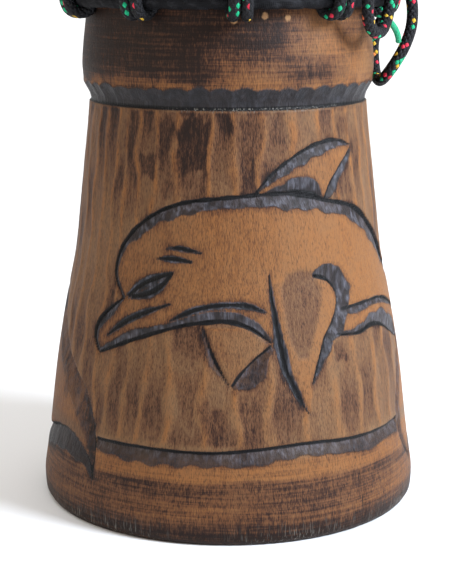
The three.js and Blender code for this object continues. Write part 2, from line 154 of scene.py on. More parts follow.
# Chisel cuts of one leaping dolphin: the side of the line on which the slope rises from the
# upright wall, or "both" for a plain V groove; how black the slope is burnt; and the line
# through (angle, height, width of the cut).
FIGURE_CUTS = {
    "back": ("right", 0.92, [
        (-38, 105, 1.5), (-43.5, 115, 2), (-42, 126, 3), (-33, 139, 5), (-19, 148, 5),
        (0, 151.5, 4.5), (22, 152.5, 6), (38, 148.5, 5.5), (55, 143, 6.5), (70, 130, 7),
        (84, 114, 7), (97, 99, 7), (107, 84, 4)]),
    "far_fluke": ("right", 0.3, [
        (84, 114, 2), (97, 99, 8), (107, 84, 10), (117, 72, 12), (127, 62, 12), (133, 51, 9),
        (135.5, 38, 5), (136, 23, 0.5)]),
    "dorsal_front": ("right", 0.93, [
        (9, 152, 0.6), (15, 160, 3), (22, 166, 4.5), (29, 170.5, 5), (38, 173.7, 4.5),
        (47, 174, 3), (55, 171, 0.5)]),
    "dorsal_rear": ("left", 0.9, [
        (55, 170, 1), (50, 165, 3), (45, 160, 4), (41, 155, 4), (38, 149.5, 3)]),
    "dorsal_root": ("left", 0.95, [
        (12, 152.6, 0.5), (20, 153.2, 4), (27, 153, 6.5), (33, 151.4, 5), (36.5, 149.4, 1)]),
    "upper_brow": ("both", 1, [(-22.5, 128.8, 0.4), (-17, 129.3, 2.6), (-9.3, 127.6, 0.8)]),
    "lower_brow": ("both", 1, [(-26, 124, 0.4), (-20, 124.6, 3.2), (-12.5, 123.6, 0.8)]),
    "upper_lid": ("both", 1, [
        (-36.5, 106.2, 2.4), (-32.2, 111.2, 4.2), (-26.3, 115.4, 4.2), (-19, 118.6, 0.8)]),
    "lower_lid": ("both", 1, [
        (-35, 106.4, 2.4), (-29.2, 108.2, 3.8), (-24.2, 111.7, 3.8), (-19.5, 118, 0.8)]),
    "beak": ("left", 0.93, [
        (-38.5, 105, 1), (-44, 99.5, 4), (-48, 94.5, 4.5), (-49.8, 89, 3), (-49, 84, 2.5),
        (-46.3, 79.6, 1)]),
    "mouth": ("both", 1, [
        (-43.5, 87.6, 0.5), (-38, 93.5, 3), (-33, 97.8, 3.4), (-27, 101.3, 3), (-19.3, 105.3, 0.5)]),
    "belly": ("left", 0.93, [
        (-46.3, 79.6, 1), (-34, 87, 4), (-23, 92.7, 3), (-15, 96.2, 3), (-7, 98, 4.5),
        (0, 98.4, 4.5), (7, 95.6, 4), (13.8, 89, 1)]),
    "throat": ("both", 1, [
        (-19.5, 97.6, 0.4), (-14, 101.6, 2.8), (-7.5, 104.4, 3), (0, 105.6, 3), (7, 104.8, 3),
        (12.6, 102, 1)]),
    "small_fin_front": ("right", 0.5, [(-8, 95.6, 1), (-4.5, 83, 2.6), (0.4, 70.8, 0.5)]),
    "small_fin_rear": ("left", 0.6, [(13.6, 87.5, 2), (8, 81.5, 7.5), (4, 76, 8), (1, 70.5, 2.5)]),
    "large_fin_front": ("both", 1, [
        (14.2, 118, 0.4), (14.8, 107, 2), (16, 95, 4.2), (17, 87, 5.2), (18.2, 78, 4.6),
        (20.6, 69, 3.6), (23, 62, 1.8), (25.6, 56, 0.4)]),
    "large_fin_rear": ("left", 0.95, [
        (31, 116, 3), (36.6, 113.6, 7.5), (40, 108, 8), (39.4, 101, 6.6), (36.4, 94, 6.4),
        (33.8, 90, 5.4), (30.4, 80, 3), (27, 69, 0.5)]),
    "tail_crease": ("right", 0.93, [
        (41.5, 99.7, 1.5), (48, 100, 3.6), (56, 100.3, 3.2), (65, 99.8, 2.6), (74, 96.6, 2.2),
        (85, 90, 1.6), (93, 82, 0.4)]),
    "tail_under": ("left", 0.93, [
        (38, 89.3, 0.8), (44, 88, 2), (50, 87.6, 3.4), (57, 89.4, 6), (65, 87, 7), (74, 81, 7),
        (84, 74.5, 2)]),
    "near_fluke": ("left", 0.5, [
        (84, 77, 0.8), (76.5, 68, 4.5), (70.8, 56, 5.5), (67.8, 44, 5), (68.6, 34, 4),
        (72.5, 26, 3), (78, 19, 0.5)]),
    "fluke_edges": ("right", 0.93, [
        (77.4, 18.2, 0.5), (83, 27, 4.5), (91, 32, 6.5), (99, 33, 8), (110, 37.5, 10),
        (121, 39, 10), (129, 35, 8), (134, 28.5, 4), (136.3, 21.6, 0.5)]),
    "ground": ("right", 0.8, [
        (-43.6, 41, 5), (-26, 41.6, 6.6), (-6, 41.4, 6.4), (13, 43, 6), (24, 43.6, 6),
        (41, 42, 6), (54, 41.6, 6.6), (66.5, 42, 6)]),
}

# Outlines, as (angle, height), of what stands proud of the gouged background
FIGURE_OUTLINES = [
    [(-38.5, 105), (-43.5, 115), (-42, 126), (-33, 139), (-19, 148), (0, 151.5), (22, 152.5),
     (38, 148.5), (55, 143), (70, 130), (84, 114), (97, 99), (107, 84), (117, 72), (127, 62),
     (133, 51), (135.5, 38), (136.3, 22), (134, 28.5), (129, 35), (121, 39), (110, 37.5),
     (99, 33), (91, 32), (83, 27), (78, 19), (72.5, 26), (68.6, 34), (67.8, 44), (70.8, 56),
     (76.5, 68), (84, 76), (74, 81), (65, 87), (57, 89.4), (50, 87.6), (38, 89.3), (14, 89),
     (7, 95.6), (0, 98.4), (-7, 98), (-15, 96.2), (-23, 92.7), (-34, 87), (-46.3, 79.6),
     (-49.8, 86), (-48, 94.5), (-44, 99.5)],
    [(9, 151), (15, 160), (22, 166), (29, 170.5), (38, 173.7), (47, 174), (55, 171),
     (50, 165), (45, 160), (41, 155), (38, 148)],
    [(14.2, 118), (16, 95), (18.2, 78), (25.6, 56), (27, 69), (30, 80), (33, 90), (38, 104),
     (31, 115)],
    [(-8, 96), (-4.5, 83), (0.6, 70.4), (4, 76), (8, 81.5), (14, 87), (7, 96)],
]

# Outline of the scorched hollow in the near fin
FIN_HOLLOW = [
    (17, 113), (20, 119), (26, 121), (31.5, 119), (35, 110), (32.5, 98), (27, 79.5), (22, 80),
    (18.5, 92),
]

# Marks of age: pale spots (angle, height, radius) and the crack in the foot (angle, height)
PALE_SPOTS = [(2.2, 227.0, 1.7), (13.8, 228.6, 1.6), (22.8, 227.6, 1.5)]
CRACK = [(41.2, 36), (41.7, 27), (42.6, 15), (43, 3)]

# Angles of the ridges between the gouge hollows on the front
RIDGES_SEEN = [
    -84, -76, -69, -62, -54.6, -47, -41, -34.7, -27.8, -19.5, -7, 2.5, 13.2, 24.7, 36.5, 45.5,
    55, 63, 71, 79, 87,
]

# Patches that the flame has darkened: angle, height, half width, half height and strength
SCORCHES = [
    (-39.5, 177, 3.5, 7, 0.6), (-24.5, 176, 4, 9, 0.75), (-13.5, 174, 6, 11, 1),
    (-1, 183, 3.5, 4, 0.8), (-1, 167, 4, 12, 0.35), (-31, 164, 3, 5, 0.7), (9.5, 179, 4, 7, 0.45),
    (20, 180, 3, 8, 0.5), (40, 180, 4, 6, 0.55), (52, 180, 5, 5, 0.6), (-52.5, 179, 4, 6, 0.4),
    (48, 157, 5, 8, 0.6), (-22.5, 158, 3, 8, 0.4), (-13, 156, 6, 6, 0.5), (-11, 90, 3, 9, 0.6),
    (-32, 64, 3, 15, 0.3), (-24.5, 68, 3, 22, 0.3), (-13, 62, 4, 15, 0.5),
    (-4.5, 53, 3.5, 9, 0.75), (7.5, 54, 4, 9, 0.65), (40, 82, 2.5, 4, 0.7),
    (50, 69, 2.5, 17, 0.35), (60.5, 64, 3, 16, 0.35), (-41, 77, 4, 26, 0.2),
    (17.5, 61, 5, 13, 0.15),
]

# The spare rope's route from the lacing down over the neck ring, as points x, y, z
SPARE_ROUTE = [
    (54.4, -62, 255), (57.6, -60.2, 248.6), (59.6, -57.2, 241), (60, -54.2, 233.5),
    (60.7, -50.8, 226.6), (63.5, -45.4, 221.4), (67.4, -38.6, 221), (70.4, -33.2, 226),
    (71.9, -31.6, 233.5), (72.7, -31.4, 241), (72.1, -30.4, 247.6), (70.1, -26.8, 252.8),
    (68.4, -20.8, 255.2), (68.6, -14, 255.4), (71.1, -7.8, 254.4), (75.4, -3.2, 251.4),
    (80, -1.2, 246), (83.6, -1.8, 238.6), (85.2, -3.8, 231), (84.8, -5.6, 222),
    (82, -6.8, 213.4), (78.2, -7.2, 206.4), (74.6, -5.4, 200.6), (72.2, -0.4, 197),
    (71.1, 6, 196.6), (70.2, 11.8, 199.8), (69.6, 15.2, 206.4), (69.6, 16.2, 213.6),
    (71.2, 16, 220.6), (75.2, 15.4, 227), (78.2, 14, 234.5), (79, 11.4, 241.6),
    (77, 6.6, 246.6), (73.4, 1.2, 248.4), (70, -5, 247.6), (68.4, -11, 246.4),
]

# The loose end of yarn that sticks out of the spare rope
YARN_ROUTE = [
    (69.5, -31.5, 226.5), (72.5, -30, 224.5), (75, -27.5, 221.5), (76.6, -25, 218), (77, -23, 216),
]
YARN_RADIUS = 0.0014


def length(name, description, default):
    return FloatProperty(name=name, description=description, default=default, unit="LENGTH")


def power(name, description, default):
    return FloatProperty(name=name, description=description, default=default, unit="POWER")


def colour(name, description, default):
    return FloatVectorProperty(
        name=name, description=description, default=default, subtype="COLOR")


class WoodSettings(bpy.types.PropertyGroup):
    flute_depth: length(
        "Flute depth", "How deep the gouge hollows of the background are", 0.00045)
    cut_depth: length(
        "Cut depth", "Depth of a chisel cut that is one millimetre wide", 0.00066)
    orange: colour(
        "Bare wood", "Colour of the smoothed figure and of the ridges", (0.22, 0.09, 0.027))
    muted: colour("Stained wood", "Colour of the stained background", (0.16, 0.088, 0.042))
    # Also the colour towards which painted shade darkens the wood.
    browned_and_shaded: colour(
        "Browned wood", "Colour of the wood that the flame has only browned",
        (0.067, 0.0265, 0.013))
    scorched: colour(
        "Scorched wood", "Colour of the wood that the flame has blackened",
        (0.012, 0.0055, 0.0035))
    char: colour("Charred cuts", "Colour of the burnt slopes of the cuts", (0.013, 0.013, 0.015))


class RopeSettings(bpy.types.PropertyGroup):
    diameter: length("Diameter", "Thickness of the rope", 0.0054)
    strands: IntProperty(
        name="Strands", description="Braided strands seen round the rope", default=6)
    black: colour("Rope", "Colour of the braid", (0.006, 0.006, 0.007))
    green: colour("Green fleck", "Colour of the green flecks", (0.01, 0.35, 0.16))
    gold: colour("Gold fleck", "Colour of the gold flecks", (0.55, 0.33, 0.03))
    red: colour("Red fleck", "Colour of the red flecks", (0.6, 0.03, 0.06))
    cloth: colour("Ring cloth", "Colour of the cloth round the rings", (0.006, 0.006, 0.007))


class HeadSettings(bpy.types.PropertyGroup):
    skin: colour("Goatskin", "Colour of the shaved skin", (0.66, 0.52, 0.34))
    stain: colour("Skin stain", "Colour of the skin's darker patches", (0.33, 0.21, 0.11))


class StageSettings(bpy.types.PropertyGroup):
    distance: length("Camera distance", "From the drum's axis to the camera", 0.7)
    height: length("Camera height", "Height of the camera over the floor", 0.25)
    pitch: FloatProperty(
        name="Camera pitch", description="How far the camera looks down",
        default=math.radians(12.5), subtype="ANGLE")
    key_power: power("Key light", "Power of the soft light at the right", 36.5)
    fill_power: power("Fill light", "Power of the soft light at the left", 3.0)
    key_colour: colour("Key colour", "Colour of the light at the right", (0.82, 0.89, 1.0))
    fill_colour: colour("Fill colour", "Colour of the light at the left", (1.0, 0.86, 0.7))
    overhead: FloatProperty(
        name="Overhead light", description="Strength of the light straight down on the floor",
        default=1.1)
    backdrop: power("Backdrop light", "Power of the light over the floor behind the drum", 300.0)
    sky: FloatProperty(name="Room light", description="Strength of the white room", default=0.32)


# Shader nodes


class Term:
    """A socket of a finish. Arithmetic on it adds Math nodes to the finish."""

    def __init__(self, finish, socket):
        self.finish = finish
        self.socket = socket

    def _math(self, operation, *values):
        sockets = dict(enumerate(values))
        return self.finish.node("ShaderNodeMath", {"operation": operation}, sockets)

    def __add__(self, other):
        return self._math("ADD", self, other)

    def __radd__(self, other):
        return self._math("ADD", other, self)

    def __sub__(self, other):
        return self._math("SUBTRACT", self, other)

    def __rsub__(self, other):
        return self._math("SUBTRACT", other, self)

    def __mul__(self, other):
        return self._math("MULTIPLY", self, other)

    def __rmul__(self, other):
        return self._math("MULTIPLY", other, self)

    def __truediv__(self, other):
        return self._math("DIVIDE", self, other)

    def floor(self):
        return self._math("FLOOR", self)

    def within(self):
        """The value held between 0 and 1."""
        return self.finish.node(
            "ShaderNodeMath", {"operation": "ADD", "use_clamp": True}, {0: self, 1: 0.0})

    def rise(self, start, end):
        """0 below start, 1 above end, and a straight rise between them."""
        return ((self - start) / (end - start)).within()


class Finish:
    """A material of one Principled shader, and the ways to add nodes to it."""

    def __init__(self, name, **uniform):
        self.material = bpy.data.materials.new(name)
        self.material.use_nodes = True
        self.tree = self.material.node_tree
        self.tree.nodes.clear()
        self.shader = self.tree.nodes.new("ShaderNodeBsdfPrincipled")
        output = self.tree.nodes.new("ShaderNodeOutputMaterial")
        self.tree.links.new(self.shader.outputs[0], output.inputs["Surface"])
        for socket, value in uniform.items():
            self.set(socket.replace("_", " ").title().replace("Ior", "IOR"), value)

    def feed(self, target, value):
        if isinstance(value, Term):
            self.tree.links.new(value.socket, target)
        elif hasattr(value, "__len__") and target.type == "RGBA":
            target.default_value = (*tuple(value)[:3], 1.0)
        else:
            target.default_value = value

    def set(self, socket, value):
        self.feed(self.shader.inputs[socket], value)

    def node(self, kind, settings=None, sockets=None, output=0):
        """Adds a node with its settings, feeds its sockets and returns one of its outputs."""
        node = self.tree.nodes.new(kind)
        for name, value in (settings or {}).items():
            setattr(node, name, value)
        for name, value in (sockets or {}).items():
            self.feed(node.inputs[name], value)
        return Term(self, node.outputs[output])

    def mix(self, share, first, second, blend="MIX"):
        """Two colours mixed by share, 0 for the first and 1 for the second."""
        settings = {"data_type": "RGBA", "blend_type": blend}
        return self.node("ShaderNodeMix", settings, {0: share, 6: first, 7: second}, 2)

    def place(self, stretch):
        """The point on the object in millimetres, multiplied along each axis."""
        here = self.node("ShaderNodeTexCoord", output="Object")
        scale = tuple(1000 * s for s in stretch)
        return self.node("ShaderNodeVectorMath", {"operation": "MULTIPLY"}, {0: here, 1: scale})

    def noise(self, vector, detail=2.0, roughness=0.5, distortion=0.0):
        sockets = {
            "Vector": vector, "Scale": 1.0, "Detail": detail, "Roughness": roughness,
            "Distortion": distortion,
        }
        return self.node("ShaderNodeTexNoise", {}, sockets, "Fac")

    def mark(self, name):
        """A value that the mesh carries at each of its points."""
        return self.node("ShaderNodeAttribute", {"attribute_name": name}, output="Fac")

    def bump(self, height, distance):
        sockets = {"Height": height, "Distance": distance}
        self.set("Normal", self.node("ShaderNodeBump", {}, sockets, "Normal"))


def wood_finish(wood):
    """Stained and scorched hardwood with short pores, lathe streaks and charred cuts."""
    finish = Finish("scorched_hardwood", specular_ior_level=0.17)
    pores = finish.noise(finish.place((2.4, 2.4, 0.42)), 2.0, 0.6)
    fibre = finish.noise(finish.place((0.8, 0.8, 0.05)), 3.0, 0.65, 0.3)
    blotch = finish.noise(finish.place((0.08, 0.08, 0.05)), 4.0, 0.6, 0.8)
    streak = finish.noise(finish.place((0.03, 0.03, 0.8)), 4.0, 0.65)
    speck = finish.noise(finish.place((1.1, 1.1, 1.1)), 3.0, 0.65)
    scrape_and_highlight_noise = finish.noise(finish.place((1.6, 1.6, 0.14)), 2.0, 0.5)
    turned = finish.mark("turned")
    ragged = (pores - 0.5) * 1.6 + (fibre - 0.5) * 1.0 + (speck - 0.5) * 0.8
    warmth = finish.mark("warmth") + (blotch - 0.5) * 0.9 + (pores - 0.5) * 0.8
    shade = finish.mark("shade") + (blotch - 0.5) * 0.5 + (streak - 0.5) * 1.2 * turned
    shade = shade + (fibre - 0.5) * (1.0 - 0.3 * turned) - (pores - 0.5) * 1.1
    shade = shade + (1 - finish.mark("slope") / 2.6).within() * blotch.rise(0.3, 0.62) * 0.5
    colour = finish.mix(warmth.within(), wood.muted, wood.orange)
    deep = finish.mix(shade.rise(0.6, 1.0), wood.browned_and_shaded, wood.scorched)
    colour = finish.mix(shade.rise(0.0, 0.75), colour, deep)
    colour = finish.mix((1 - pores.rise(0.3, 0.48)) * 0.34, colour, wood.scorched)
    slope = (0.5 - (finish.mark("slope") + ragged * 0.7) / 0.7).within() * finish.mark("burn")
    line = (0.5 - (finish.mark("line") + ragged * 0.3) / 0.45).within()
    facets = finish.noise(finish.place((0.3, 0.3, 0.2)), 1.0, 0.5)
    sheen = fibre.rise(0.36, 0.8) * facets.rise(0.4, 0.62) * (1 - turned * 0.8)
    colour = finish.mix(slope, colour, finish.mix(sheen, wood.char, CHAR_SHEEN))
    colour = finish.mix(line, colour, CUT_BLACK)
    # Real scuffs at the foot and a painted highlight along the notch's edge, both in pale grey.
    scuffed_and_highlighted = scrape_and_highlight_noise.rise(0.56, 0.66) * finish.mark("scuff")
    colour = finish.mix(scuffed_and_highlighted.within(), colour, SCUFF_AND_HIGHLIGHT_GREY)
    pale = (finish.mark("pale") + (speck - 0.5) * 0.8).rise(-0.3, 0.3)
    colour = finish.mix(pale * 0.85, colour, PALE_WOOD)
    finish.set("Base Color", colour)
    finish.set("Roughness", (0.36 + 0.25 * pores + 0.12 * speck - 0.08 * slope).within())
    height = pores * 0.6 + speck * 0.35 + streak * turned * 0.6
    height = height + fibre * (0.4 + slope * 1.2) + facets * slope * 2.0
    finish.bump(height, 0.0003)
    return finish.material


def rope_finish(rope):
    """Round braid of black strands with flecks of green, gold and red yarn."""
    finish = Finish("braided_rope", roughness=0.6, specular_ior_level=0.16)
    along = finish.node("ShaderNodeUVMap", {"uv_map": "braid"})
    split = {"Vector": along}
    u = finish.node("ShaderNodeSeparateXYZ", {}, split, "X") * float(rope.strands)
    v = finish.node("ShaderNodeSeparateXYZ", {}, split, "Y") * float(rope.strands)
    one_way, other_way = u + v, u - v
    row, column = one_way.floor(), other_way.floor()
    cell = finish.node("ShaderNodeCombineXYZ", {}, {"X": row, "Y": column, "Z": 0.5})
    chance = finish.node(
        "ShaderNodeTexWhiteNoise", {"noise_dimensions": "3D"}, {"Vector": cell}, "Value")
    across, down = (one_way - row) * 2 - 1, (other_way - column) * 2 - 1
    pillow = (1 - across * across) * (1 - down * down)
    fibre = finish.noise(finish.place((2.5, 2.5, 2.5)), 2.0, 0.6)
    yarn = finish.mix(chance.rise(0.9, 0.901), rope.green, rope.gold)
    yarn = finish.mix(chance.rise(0.95, 0.951), yarn, rope.red)
    fleck = chance.rise(0.845, 0.846) * pillow.rise(0.12, 0.3)
    black = finish.mix(fibre.rise(0.45, 0.75), rope.black, WORN_BLACK)
    finish.set("Base Color", finish.mix(fleck, black, yarn))
    finish.bump(pillow + fibre * 0.35, 0.0005)
    return finish.material


def yarn_finish(rope):
    """A loose green yarn."""
    finish = Finish("loose_yarn", base_color=LOOSE_YARN, roughness=0.75)
    finish.bump(finish.noise(finish.place((4, 4, 0.6)), 2.0, 0.6), 0.0004)
    return finish.material


def cloth_finish(rope):
    """Black woven cloth with a dull sheen."""
    finish = Finish("ring_cloth", roughness=0.62, specular_ior_level=0.08)
    weave = finish.node("ShaderNodeUVMap", {"uv_map": "braid"})
    split = {"Vector": weave}
    u = finish.node("ShaderNodeSeparateXYZ", {}, split, "X") * 28.0
    v = finish.node("ShaderNodeSeparateXYZ", {}, split, "Y") * 28.0
    across, along = (u - u.floor()) * 2 - 1, (v - v.floor()) * 2 - 1
    threads = (1 - across * across) * (1 - along * along)
    worn = finish.noise(finish.place((0.18, 0.18, 0.3)), 3.0, 0.6)
    finish.set("Base Color", finish.mix(worn.rise(0.5, 0.75), rope.cloth, WORN_BLACK))
    finish.bump(threads * 0.4 + worn * 1.5, 0.0003)
    return finish.material


def skin_finish(head):
    """Shaved goatskin with a darker line along the spine and small spots."""
    finish = Finish(
        "shaved_goatskin", roughness=0.55, specular_ior_level=0.35, subsurface_weight=0.08)
    patch = finish.noise(finish.place((0.02, 0.02, 0.02)), 4.0, 0.6, 0.5)
    speck = finish.noise(finish.place((0.7, 0.7, 0.7)), 3.0, 0.65)
    hair = finish.noise(finish.place((1.4, 0.08, 0.2)), 2.0, 0.6)
    across = finish.node("ShaderNodeSeparateXYZ", {}, {"Vector": finish.place((1, 1, 1))}, "X")
    off_spine = across + patch * 24 - 12
    spine = 1 - (off_spine * off_spine / 260.0).within()
    stain = patch.rise(0.45, 0.75) * 0.6 + spine * 0.35 + speck.rise(0.6, 0.75) * 0.35
    stain = (stain + finish.mark("worn")).within()
    colour = finish.mix(stain, head.skin, head.stain)
    colour = finish.mix(hair.rise(0.62, 0.7) * 0.3, colour, DARK_HAIR)
    finish.set("Base Color", colour)
    finish.bump(speck * 0.6 + hair * 0.5, 0.0002)
    return finish.material


# Shapes


def smooth_through(points):
    """A function that runs through (x, y) points in one smooth line and overshoots none."""
    x, y = np.array(sorted(points), float).T
    slopes = np.diff(y) / np.diff(x)
    product = slopes[:-1] * slopes[1:]
    total = np.where(product > 0, slopes[:-1] + slopes[1:], 1)
    inner = np.where(product > 0, 2 * product / total, 0)
    tangents = np.concatenate([slopes[:1], inner, slopes[-1:]])

    def at(where):
        where = np.clip(np.asarray(where, float), x[0], x[-1])
        i = np.clip(np.searchsorted(x, where, side="right") - 1, 0, len(x) - 2)
        step = x[i + 1] - x[i]
        t = (where - x[i]) / step
        return (
            (1 + 2 * t) * (1 - t) ** 2 * y[i]
            + t * (1 - t) ** 2 * step * tangents[i]
            + t * t * (3 - 2 * t) * y[i + 1]
            + t * t * (t - 1) * step * tangents[i + 1])

    return at


def smooth_line(points, spacing, closed=False):
    """Evenly spaced points along a curve that runs smoothly through the given ones."""
    given = np.array(points, float)
    if closed:
        ends = np.vstack([given[-1:], given, given[:2]])
    else:
        ends = np.vstack([2 * given[0] - given[1], given, 2 * given[-1] - given[-2]])
    t = np.linspace(0, 1, 24, endpoint=False)[:, None]
    stretches = []
    for a, b, c, d in zip(ends, ends[1:], ends[2:], ends[3:]):
        first, middle, last = (max(np.linalg.norm(v), 1e-9) ** 0.5 for v in (b - a, c - b, d - c))
        leave = ((b - a) / first - (c - a) / (first + middle) + (c - b) / middle) * middle
        arrive = ((c - b) / middle - (d - b) / (middle + last) + (d - c) / last) * middle
        stretches.append(
            (1 + 2 * t) * (1 - t) ** 2 * b + t * (1 - t) ** 2 * leave
            + t * t * (3 - 2 * t) * c + t * t * (t - 1) * arrive)
    dense = np.vstack(stretches + [given[:1] if closed else given[-1:]])
    run = np.concatenate([[0], np.cumsum(np.linalg.norm(np.diff(dense, axis=0), axis=1))])
    count = max(int(round(run[-1] / spacing)), 3)
    stops = np.linspace(0, run[-1], count + 1)
    line = np.column_stack([np.interp(stops, run, axis) for axis in dense.T])
    return line[:-1] if closed else line


def ramp(value, start, end):
    """0 at start, 1 at end, eased between them. The ends may be in either order."""
    t = np.clip((value - start) / (end - start), 0, 1)
    return t * t * (3 - 2 * t)


def drift(angle, height, seed, wave=3, per_mm=0.03):
    """A smooth wandering value, about -1 to 1, that closes on itself round the drum."""
    rng = np.random.default_rng(seed)
    total = np.zeros(np.broadcast(angle, height).shape)
    for _ in range(7):
        turns = rng.integers(1, wave + 1)
        pace = rng.uniform(-per_mm, per_mm)
        wave_at = np.radians(angle) * turns + height * pace * 2 * np.pi
        total = total + np.sin(wave_at + rng.uniform(0, 7))
    return total / 3


def inside(angle, height, outline):
    """Where points lie inside an outline of (angle, height) corners."""
    corners = np.array(outline, float)
    result = np.zeros(angle.shape, bool)
    for (a0, h0), (a1, h1) in zip(corners, np.roll(corners, -1, axis=0)):
        if h0 == h1:
            continue
        crosses = (h0 > height) != (h1 > height)
        at = a0 + (height - h0) * (a1 - a0) / (h1 - h0)
        result ^= crosses & (angle < at)
    return result


def soft_inside(angle, height, outline, soft):
    """1 well inside an outline, 0 outside it, with an edge that is soft over some millimetres."""
    result = inside(angle, height, outline)
    if not result.any():
        return np.zeros(angle.shape)
    path = np.array([(a, h, 0.0) for a, h in [*outline, outline[0]]])
    side, _, _ = nearest(angle, height, path)
    return result * ramp(np.abs(side), 0.0, soft)


def turn_to(angle, centre):
    """The angles brought to within half a turn of the centre."""
    return (angle - centre + 180) % 360 - 180 + centre


def on_drum(radius, angle, height):
    """Points in metres, from a radius and a height in millimetres and an angle."""
    a = np.radians(angle)
    radius, height = np.broadcast_arrays(np.asarray(radius, float), np.asarray(height, float))
    return np.stack([radius * np.sin(a), -radius * np.cos(a), height + 0 * a], axis=-1) * MM


def new_piece(name, points, faces, material, marks=None, uv=None, slot=None):
    """A smooth mesh that rides on the drum, with values at its points and a braid map."""
    mesh = bpy.data.meshes.new(name)
    mesh.from_pydata([tuple(p) for p in points], [], faces)
    mesh.polygons.foreach_set("use_smooth", np.ones(len(mesh.polygons), bool))
    for mark, values in (marks or {}).items():
        attribute = mesh.attributes.new(mark, "FLOAT", "POINT")
        attribute.data.foreach_set("value", np.asarray(values, np.float32).ravel())
    if uv is not None:
        layer = mesh.uv_layers.new(name="braid")
        layer.data.foreach_set("uv", np.asarray(uv, np.float32).ravel())
    mesh.materials.append(material)
    mesh.validate()
    piece = bpy.data.objects.new(name, mesh)
    bpy.context.scene.collection.objects.link(piece)
    if slot:
        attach(piece, "root")
    return piece


def finish_named(name, make, settings):
    return bpy.data.materials.get(name) or make(settings)


class Skin:
    """Rings of points stacked into one closed surface, each with values at its points.

    It is made with the usual value of every mark, for the rings that are given no other."""

    def __init__(self, usual):
        self.usual = usual
        self.points, self.faces, self.rings = [], [], []
        self.values = {name: [] for name in usual}
        self.count = 0

    def add(self, angles, radius, height, values=None):
        ring = np.arange(self.count, self.count + len(angles))
        self.points.append(on_drum(radius, angles, height))
        for name, plain in self.usual.items():
            value = (values or {}).get(name, plain)
            self.values[name].append(np.broadcast_to(value, angles.shape))
        self.rings.append((ring, angles))
        self.count += len(angles)

    def stitch(self, lower, upper):
        """Faces between two rings, which may have different numbers of points."""
        (low, low_angles), (high, high_angles) = lower, upper
        if len(low) == len(high):
            ahead_low, ahead_high = np.roll(low, -1), np.roll(high, -1)
            self.faces.extend(np.stack([low, ahead_low, ahead_high, high], 1).tolist())
            return
        i = j = 0
        n, m = len(low), len(high)
        next_low = np.append(low_angles[1:], low_angles[0] + 360)
        next_high = np.append(high_angles[1:], high_angles[0] + 360)
        while i < n or j < m:
            if j >= m or (i < n and next_low[i] <= next_high[j]):
                self.faces.append([int(low[i % n]), int(low[(i + 1) % n]), int(high[j % m])])
                i += 1
            else:
                self.faces.append([int(low[i % n]), int(high[(j + 1) % m]), int(high[j % m])])
                j += 1

    def close(self):
        """Joins every ring to the next and the last to the first."""
        for lower, upper in zip(self.rings, self.rings[1:] + self.rings[:1]):
            self.stitch(lower, upper)
        marks = {name: np.concatenate(values) for name, values in self.values.items()}
        return np.concatenate(self.points), self.faces, marks


def column_angles(count, front_share=0.64):
    """Angles round the drum, closer together on the front than on the back."""
    fine = np.linspace(-180, 180, 1441)
    weight = 1 + (front_share / (1 - front_share) - 1) * ramp(np.abs(fine), 104, 84)
    run = np.concatenate([[0], np.cumsum((weight[1:] + weight[:-1]) / 2)])
    stops = np.linspace(0, run[-1], count, endpoint=False)
    return np.interp(stops, run, fine)


foot_radius = smooth_through(FOOT_PROFILE)
collar_radius = smooth_through(COLLAR_PROFILE)
bowl_radius = smooth_through(BOWL_PROFILE)


def cut_marks(angle, height, wood):
    """Depth of all the chisel cuts, how far off their lines and slopes are, and their burn.

    Depths and distances are in millimetres. A distance is below 0 inside a line or a slope."""
    depth, burn = np.zeros(angle.shape), np.zeros(angle.shape)
    to_line, to_slope = np.full(angle.shape, FAR_OFF), np.full(angle.shape, FAR_OFF)
    per_root = wood.cut_depth / MM
    for figure in range(FIGURES):
        for slope, black, line in FIGURE_CUTS.values():
            path = smooth_line([(a + figure * FIGURE_PITCH, h, w) for a, h, w in line], 2.5)
            local = turn_to(angle, (path[:, 0].min() + path[:, 0].max()) / 2)
            reach = path[:, 2].max() + 4
            spread = np.degrees(reach / FOOT_LEAST_RADIUS)
            near = (
                (local > path[:, 0].min() - spread) & (local < path[:, 0].max() + spread)
                & (height > path[:, 1].min() - reach) & (height < path[:, 1].max() + reach))
            if not near.any():
                continue
            side, width, past = nearest(local[near], height[near], path)
            shake = drift(local[near], height[near], 51, 46, 0.09)
            deepest = per_root * np.sqrt(np.maximum(width, 0.05)) * ramp(past, 1.6, 0.0)
            edge = np.maximum(width, 0.6) * (1 + 0.15 * shake)
            thick = (0.35 + 0.6 * np.clip(width / 3.5, 0, 1)) * (1 + 0.2 * shake)
            if slope == "both":
                off, edge, wall = np.abs(side), edge / 2, 1.0
                off_line, off_slope = off - thick, off - edge
            else:
                off = side if slope == "left" else -side
                wall = ramp(off, -0.75, 0.1)
                off_line, off_slope = np.abs(off) - thick, np.maximum(-off, off - edge)
            here = deepest * np.clip(1 - np.maximum(off, 0) / edge, 0, 1) * wall
            off_line = np.where(past > 0, np.maximum(off_line, past), off_line)
            off_slope = np.where(past > 0, np.maximum(off_slope, past), off_slope)
            burn[near] = np.where(off_slope < to_slope[near], black, burn[near])
            depth[near] = np.maximum(depth[near], here)
            to_line[near] = np.minimum(to_line[near], off_line)
            to_slope[near] = np.minimum(to_slope[near], off_slope)
    return depth, to_line, to_slope, burn


